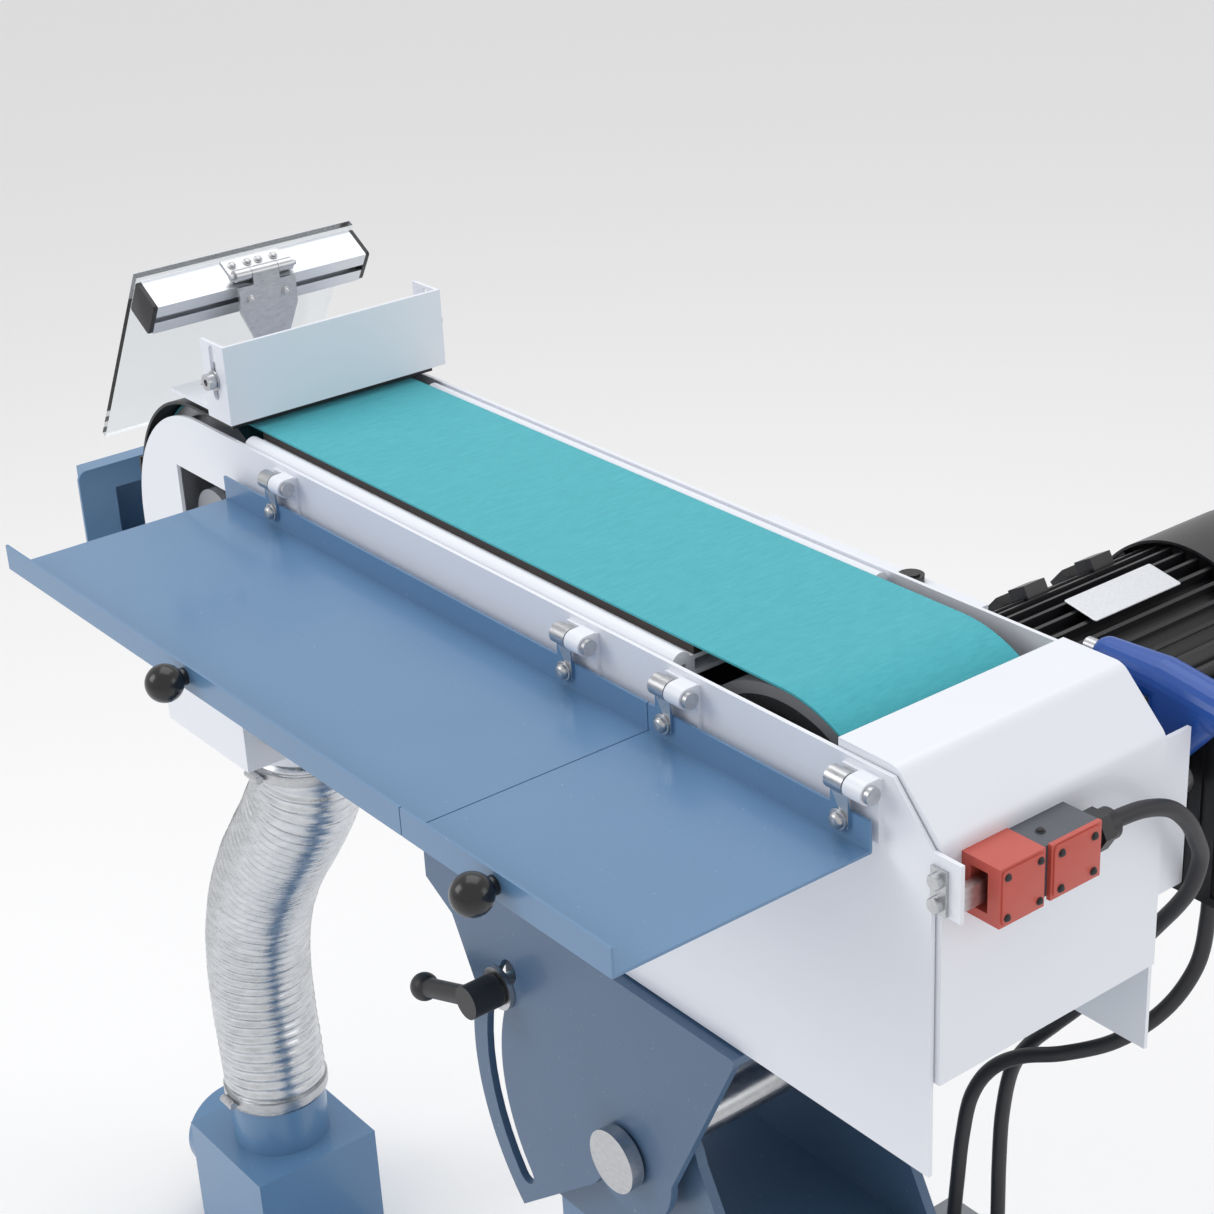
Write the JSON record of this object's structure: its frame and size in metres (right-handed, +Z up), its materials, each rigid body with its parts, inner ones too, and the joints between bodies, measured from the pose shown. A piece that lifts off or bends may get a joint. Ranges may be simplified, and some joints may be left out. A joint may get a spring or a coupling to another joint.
{
  "type": "tilting pedestal belt grinder",
  "caption": "Pedestal belt grinder with a tilting head, wide abrasive belt over a contact wheel and an idler, fold-up side trays, spark guard, eye shield, side door and dust extraction.",
  "frame": {"origin": "centre of the base plate's underside on the floor", "axes": "+Z up, +X along the belt towards the motor and contact wheel end, +Y across the belt towards the motor side"},
  "size_m": [1.1799, 0.703, 1.11],
  "materials": {
    "blue_paint": "satin",
    "white_paint": "satin",
    "black_paint": "satin",
    "grey_paint": "satin",
    "zinc_steel": "brushed",
    "aluminium": "satin",
    "black_plastic": "matte",
    "switch_grey": "matte",
    "switch_red": "matte",
    "button_red": "gloss",
    "lever_blue": "gloss",
    "rubber": "matte",
    "graphite": "matte",
    "belt_cloth": "matte",
    "cable_rubber": "matte",
    "polycarbonate": "clear"
  },
  "bodies": {
    "stand": {"base_plate": "blue_paint", "column": "blue_paint", "yoke": "blue_paint", "stand_bolts": "zinc_steel", "switch_box": "grey_paint", "dust_box": "blue_paint", "dust_hose": "aluminium", "pivot_bolt": "zinc_steel", "clamp_stud": "zinc_steel", "motor_cable": "cable_rubber", "interlock_cable": "cable_rubber"},
    "clamp": {"clamp_lever": "black_plastic"},
    "selector": {"selector_knob": "black_plastic"},
    "stop": {"stop_button": "button_red"},
    "head": {"head_bracket": "blue_paint", "far_plate": "white_paint", "main_beam": "grey_paint", "platen": "white_paint", "graphite_pad": "graphite", "abrasive_belt": "belt_cloth", "rear_hood": "white_paint", "end_cover": "black_paint", "door_pins": "zinc_steel", "dust_chute": "white_paint", "spark_box": "blue_paint", "motor_body": "black_paint", "motor_bearings": "zinc_steel", "fan_cowl": "black_paint", "terminal_box": "black_paint", "switch_body": "switch_grey", "switch_head": "switch_red", "cable_gland": "black_plastic", "tracking_bracket": "white_paint", "guard_bracket": "white_paint", "guard_screws": "zinc_steel", "shield_bracket": "zinc_steel"},
    "wheel": {"wheel_hub": "black_paint", "wheel_tyre": "rubber", "motor_shaft": "zinc_steel", "motor_fan": "black_plastic"},
    "carriage": {"idler_carriage": "grey_paint", "tension_rod": "zinc_steel"},
    "idler": {"idler_drum": "aluminium", "idler_bearings": "zinc_steel"},
    "lever": {"tension_lever": "zinc_steel", "lever_grip": "lever_blue"},
    "tracker": {"tracking_knob": "black_plastic"},
    "door": {"side_door": "white_paint", "tray_hinges": "white_paint", "hinge_pins": "zinc_steel", "interlock_key": "zinc_steel", "door_bolts": "zinc_steel"},
    "tray_left": {"left_tray": "blue_paint", "left_knob": "black_plastic"},
    "tray_right": {"right_tray": "blue_paint", "right_knob": "black_plastic"},
    "guard": {"spark_guard": "white_paint"},
    "shield": {"shield_profile": "aluminium", "eye_shield": "polycarbonate", "shield_hinge": "zinc_steel"}
  },
  "joints": [
    {"name": "head_tilt", "type": "hinge", "parent": "stand", "child": "head", "pos_m": [0, 0, 0.592], "axis": [0, 1, 0], "range_deg": [0, 60], "deforming": ["dust_hose", "motor_cable", "interlock_cable"]},
    {"name": "clamp_turn", "type": "hinge", "parent": "stand", "child": "clamp", "pos_m": [-0.14111, -0.125, 0.66082], "axis": [0, 1, 0], "range_deg": [-60, 60]},
    {"name": "selector_turn", "type": "hinge", "parent": "stand", "child": "selector", "pos_m": [0.17, 0.12, 0.42], "axis": [1, 0, 0], "range_deg": [-60, 60]},
    {"name": "stop_press", "type": "slide", "parent": "stand", "child": "stop", "axis": [-1, 0, 0], "range_m": [0, 0.006], "stiffness_N_per_m": 600, "springref_m": -0.001},
    {"name": "wheel_spin", "type": "hinge", "parent": "head", "child": "wheel", "pos_m": [0.14, 0, 0.8982], "axis": [0, 1, 0], "continuous": true},
    {"name": "tension_slide", "type": "slide", "parent": "head", "child": "carriage", "axis": [1, 0, 0], "range_m": [0, 0.012]},
    {"name": "idler_spin", "type": "hinge", "parent": "carriage", "child": "idler", "pos_m": [-0.54254, 0, 0.8982], "axis": [0, 1, 0], "continuous": true},
    {"name": "lever_turn", "type": "hinge", "parent": "head", "child": "lever", "pos_m": [0.258, 0.118, 0.904], "axis": [0, 1, 0], "range_deg": [0, 40]},
    {"name": "tracking_turn", "type": "hinge", "parent": "head", "child": "tracker", "pos_m": [0.063, 0.107, 0.997], "axis": [0, 0, 1], "range_deg": [-180, 180]},
    {"name": "door_swing", "type": "hinge", "parent": "head", "child": "door", "pos_m": [-0.654, -0.101, 0.8], "axis": [0, 0, -1], "range_deg": [0, 100]},
    {"name": "left_tray_fold", "type": "hinge", "parent": "door", "child": "tray_left", "pos_m": [-0.208, -0.1075, 0.985], "axis": [-1, 0, 0], "range_deg": [0, 90]},
    {"name": "right_tray_fold", "type": "hinge", "parent": "door", "child": "tray_right", "pos_m": [0.15, -0.1075, 0.985], "axis": [-1, 0, 0], "range_deg": [0, 90]},
    {"name": "guard_slide", "type": "slide", "parent": "head", "child": "guard", "axis": [0, 0, 1], "range_m": [-0.006, 0.01]},
    {"name": "shield_swing", "type": "hinge", "parent": "head", "child": "shield", "pos_m": [-0.5485, 0, 1.0963], "axis": [0, 1, 0], "range_deg": [0, 150]}
  ],
  "couplings": [
    {"joint": "lever_turn", "follows": "tension_slide", "rad_per_m": 58.178},
    {"joint": "idler_spin", "follows": "wheel_spin", "ratio": 1}
  ]
}
